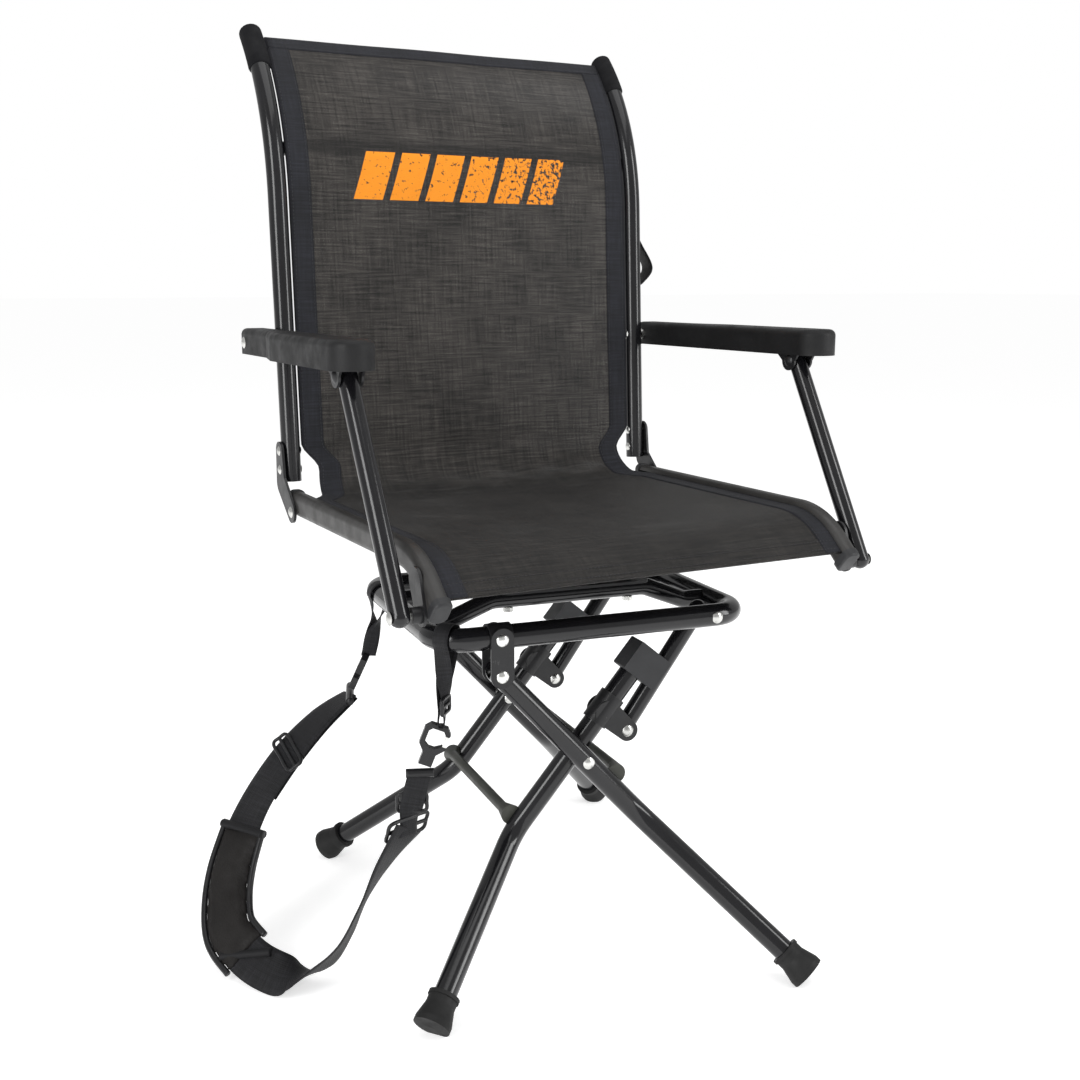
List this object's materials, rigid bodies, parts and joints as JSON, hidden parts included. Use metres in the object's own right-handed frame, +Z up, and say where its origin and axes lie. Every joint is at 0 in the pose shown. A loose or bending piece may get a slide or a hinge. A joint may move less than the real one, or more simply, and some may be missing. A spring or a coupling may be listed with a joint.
{
  "type": "folding swivel chair",
  "caption": "Folding swivel hunting chair: mesh sling seat and back with armrests on a bearing over a folding crossed-leg stand, with a shoulder strap.",
  "frame": {"origin": "on the floor, on the swivel axis, at the middle of the stand and seat", "axes": "+Z up along the swivel axis; the seat faces -Y; +X is on the right of someone who faces the chair, and left and right in the node names are as that person sees them"},
  "size_m": [0.7079, 0.6157, 1.0283],
  "materials": {
    "black_tube": "gloss black powder coat on steel tube",
    "rail_paint": "satin charcoal paint",
    "bracket_black": "satin black on stamped steel",
    "zinc": "bright zinc plate",
    "foot_rubber": "matte black rubber",
    "arm_plastic": "fine grained black moulded plastic",
    "grey_plastic": "dark grey moulded plastic",
    "mesh_fabric": "warm dark grey woven vinyl-coated mesh with black hems",
    "webbing": "black woven nylon webbing"
  },
  "bodies": {
    "base": {"ring_front": "black_tube", "ring_rear": "black_tube", "cross_bar_front": "black_tube", "cross_bar_rear": "black_tube", "swivel_lower_plate": "bracket_black", "swivel_lower_bolts": "zinc", "swivel_ball_race": "zinc", "swivel_centre_bolt": "zinc", "leg_hinge_brackets": "bracket_black", "leg_hinge_pins": "zinc", "brace_ring_bolts": "zinc", "strap_loops": "webbing", "strap_webbing": "webbing", "strap_pad": "webbing", "snap_hooks": "grey_plastic", "strap_buckles": "grey_plastic"},
    "outer_legs": {"outer_leg_front": "black_tube", "outer_leg_rear": "black_tube", "outer_leg_cross_bar": "black_tube", "outer_foot_front": "foot_rubber", "outer_foot_rear": "foot_rubber", "leg_cross_bolts": "zinc"},
    "inner_legs": {"inner_leg_front": "black_tube", "inner_leg_rear": "black_tube", "inner_leg_cross_bar": "black_tube", "inner_foot_front": "foot_rubber", "inner_foot_rear": "foot_rubber", "brace_collars": "bracket_black", "collar_rivets": "zinc", "brace_clips": "grey_plastic"},
    "brace_front": {"brace_front": "black_tube"},
    "brace_rear": {"brace_rear": "black_tube"},
    "seat": {"seat_rail_left": "rail_paint", "seat_rail_right": "rail_paint", "rail_end_caps": "grey_plastic", "seat_tube_front": "black_tube", "seat_tube_rear": "black_tube", "swivel_upper_plate": "bracket_black", "swivel_upper_bolts": "zinc", "seat_sling": "mesh_fabric", "seat_side_pins": "zinc", "strut_tabs": "bracket_black"},
    "back": {"back_rail_left": "black_tube", "back_rail_right": "black_tube", "back_cross_tube": "black_tube", "back_sling": "mesh_fabric", "hinge_plate_left": "bracket_black", "hinge_plate_right": "bracket_black", "hinge_rivets": "zinc", "arm_pivot_pins": "zinc", "back_top_caps": "grey_plastic", "carry_loop": "webbing"},
    "arm_left": {"armrest_left": "arm_plastic", "arm_bracket_left": "bracket_black"},
    "arm_right": {"armrest_right": "arm_plastic", "arm_bracket_right": "bracket_black"},
    "strut_left": {"arm_strut_left": "black_tube"},
    "strut_right": {"arm_strut_right": "black_tube"},
    "snap_gate_rear": {"snap_gate_rear": "zinc"},
    "snap_gate_front": {"snap_gate_front": "zinc"}
  },
  "joints": [
    {"name": "swivel", "type": "hinge", "parent": "base", "child": "seat", "pos_m": [0, 0, 0.408], "axis": [0, 0, 1], "continuous": true},
    {"name": "back_fold", "type": "hinge", "parent": "seat", "child": "back", "pos_m": [0, 0.159, 0.475], "axis": [1, 0, 0], "range_deg": [0, 90]},
    {"name": "arm_left_pivot", "type": "hinge", "parent": "back", "child": "arm_left", "pos_m": [0, 0.205, 0.668], "axis": [1, 0, 0], "range_deg": [-122.34, 0]},
    {"name": "strut_left_pivot", "type": "hinge", "parent": "seat", "child": "strut_left", "pos_m": [0, -0.216, 0.437], "axis": [1, 0, 0], "range_deg": [0, 49.64]},
    {"name": "arm_right_pivot", "type": "hinge", "parent": "back", "child": "arm_right", "pos_m": [0, 0.205, 0.668], "axis": [1, 0, 0], "range_deg": [-122.34, 0]},
    {"name": "strut_right_pivot", "type": "hinge", "parent": "seat", "child": "strut_right", "pos_m": [0, -0.216, 0.437], "axis": [1, 0, 0], "range_deg": [0, 49.64]},
    {"name": "leg_fold", "type": "hinge", "parent": "base", "child": "outer_legs", "pos_m": [-0.11128, 0.01268, 0.339], "axis": [-0.1132, -0.9936, 0], "range_deg": [0, 47.5]},
    {"name": "cross_fold", "type": "hinge", "parent": "outer_legs", "child": "inner_legs", "pos_m": [-0.01328, 0.00151, 0.23136], "axis": [-0.1132, -0.9936, 0], "range_deg": [0, 82.3]},
    {"name": "brace_front_pivot", "type": "hinge", "parent": "inner_legs", "child": "brace_front", "pos_m": [0.04714, -0.00537, 0.24968], "axis": [-0.1132, -0.9936, 0], "range_deg": [-183.13, 0]},
    {"name": "brace_rear_pivot", "type": "hinge", "parent": "inner_legs", "child": "brace_rear", "pos_m": [0.04714, -0.00537, 0.24968], "axis": [-0.1132, -0.9936, 0], "range_deg": [-183.13, 0]},
    {"name": "gate_rear_spring", "type": "hinge", "parent": "base", "child": "snap_gate_rear", "pos_m": [-0.17943, 0.13579, 0.28816], "axis": [0.8085, -0.4142, -0.418], "range_deg": [0, 25], "stiffness_Nm_per_rad": 0.02},
    {"name": "gate_front_spring", "type": "hinge", "parent": "base", "child": "snap_gate_front", "pos_m": [-0.18669, -0.11912, 0.26964], "axis": [-0.4116, -0.9082, -0.0765], "range_deg": [0, 25], "stiffness_Nm_per_rad": 0.02}
  ],
  "couplings": [
    {"joint": "arm_left_pivot", "follows": "back_fold", "ratio": -1.3593},
    {"joint": "strut_left_pivot", "follows": "back_fold", "ratio": 0.55143},
    {"joint": "arm_right_pivot", "follows": "back_fold", "ratio": -1.3593},
    {"joint": "strut_right_pivot", "follows": "back_fold", "ratio": 0.55143},
    {"joint": "cross_fold", "follows": "leg_fold", "ratio": 1.7325},
    {"joint": "brace_front_pivot", "follows": "leg_fold", "ratio": -3.8552},
    {"joint": "brace_rear_pivot", "follows": "leg_fold", "ratio": -3.8552}
  ]
}
